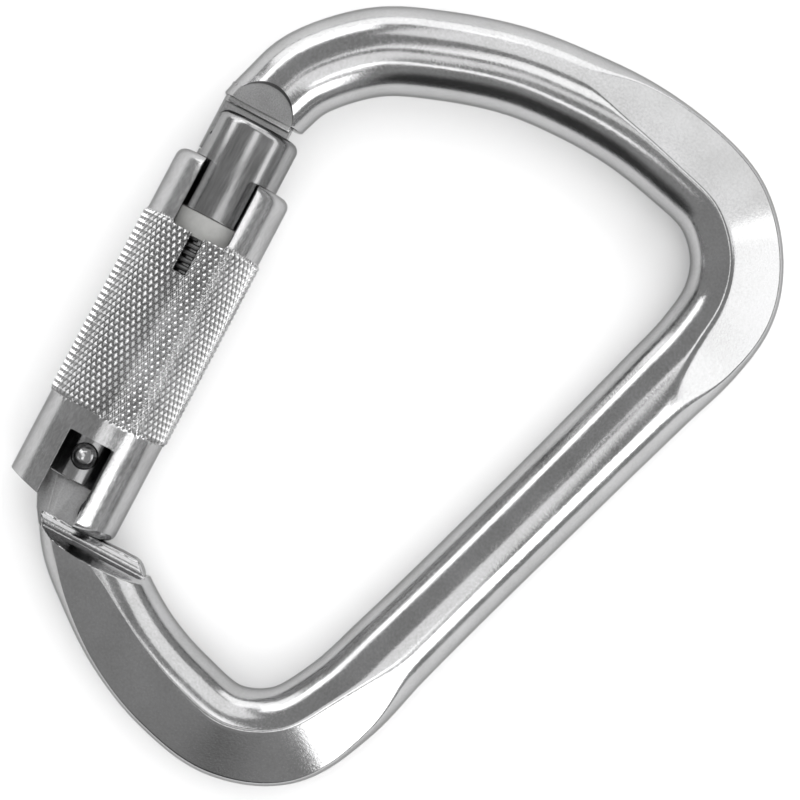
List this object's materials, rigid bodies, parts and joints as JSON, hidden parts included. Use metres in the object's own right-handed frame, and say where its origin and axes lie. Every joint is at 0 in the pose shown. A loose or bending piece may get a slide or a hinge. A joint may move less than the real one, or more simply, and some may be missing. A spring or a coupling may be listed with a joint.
{
  "type": "locking carabiner",
  "caption": "Large pear-shaped auto-locking connector: polished forged frame, hinged gate and a spring-loaded knurled sleeve that lifts and twists to unlock.",
  "frame": {"origin": "centre of the connector's bounding box, on the mid plane of the bar", "axes": "+Y runs along the straight spine towards the wide end with the nose, +Z is the front face (the face in the picture), so +X points from the gate to the spine"},
  "size_m": [0.0758, 0.1113, 0.0174],
  "materials": {
    "polished_alloy": "tumble-polished bare aluminium alloy, faint grain, near-mirror on the round stretches and satin on the pressed flats",
    "satin_alloy": "turned aluminium alloy, lightly polished",
    "knurled_alloy": "turned aluminium alloy with a diamond knurl, matt in the grooves",
    "rivet_steel": "stainless steel, brushed",
    "spring_steel": "dark drawn spring wire, slightly oiled",
    "nylon": "natural light grey nylon, matt"
  },
  "bodies": {
    "frame": {"body": "polished_alloy"},
    "gate": {"gate": "satin_alloy", "gate_rivet": "rivet_steel", "sleeve_bush": "nylon", "sleeve_spring": "spring_steel", "gate_spring": "spring_steel"},
    "washer": {"spring_washer": "rivet_steel"},
    "sleeve": {"locking_sleeve": "knurled_alloy"},
    "plunger": {"gate_plunger": "rivet_steel"}
  },
  "joints": [
    {"name": "gate_hinge", "type": "hinge", "parent": "frame", "child": "gate", "pos_m": [-0.0161, -0.035, 0], "axis": [0, 0, -1], "range_deg": [0, 28], "stiffness_Nm_per_rad": 0.05, "springref_deg": -28.65},
    {"name": "sleeve_lift", "type": "slide", "parent": "gate", "child": "washer", "axis": [-0.2957, 0.9553, 0], "range_m": [0, 0.005], "deforming": ["sleeve_spring"]},
    {"name": "sleeve_twist", "type": "hinge", "parent": "washer", "child": "sleeve", "pos_m": [-0.0161, -0.035, 0], "axis": [0.2957, -0.9553, 0], "range_deg": [0, 90], "stiffness_Nm_per_rad": 0.01, "springref_deg": -45.84},
    {"name": "plunger_slide", "type": "slide", "parent": "gate", "child": "plunger", "axis": [-0.2957, 0.9553, 0], "range_m": [0, 0.0006], "deforming": ["gate_spring"]}
  ],
  "couplings": [
    {"joint": "sleeve_lift", "follows": "gate_hinge", "m_per_rad": 0.010231},
    {"joint": "plunger_slide", "follows": "gate_hinge", "m_per_rad": 0.0012277}
  ]
}
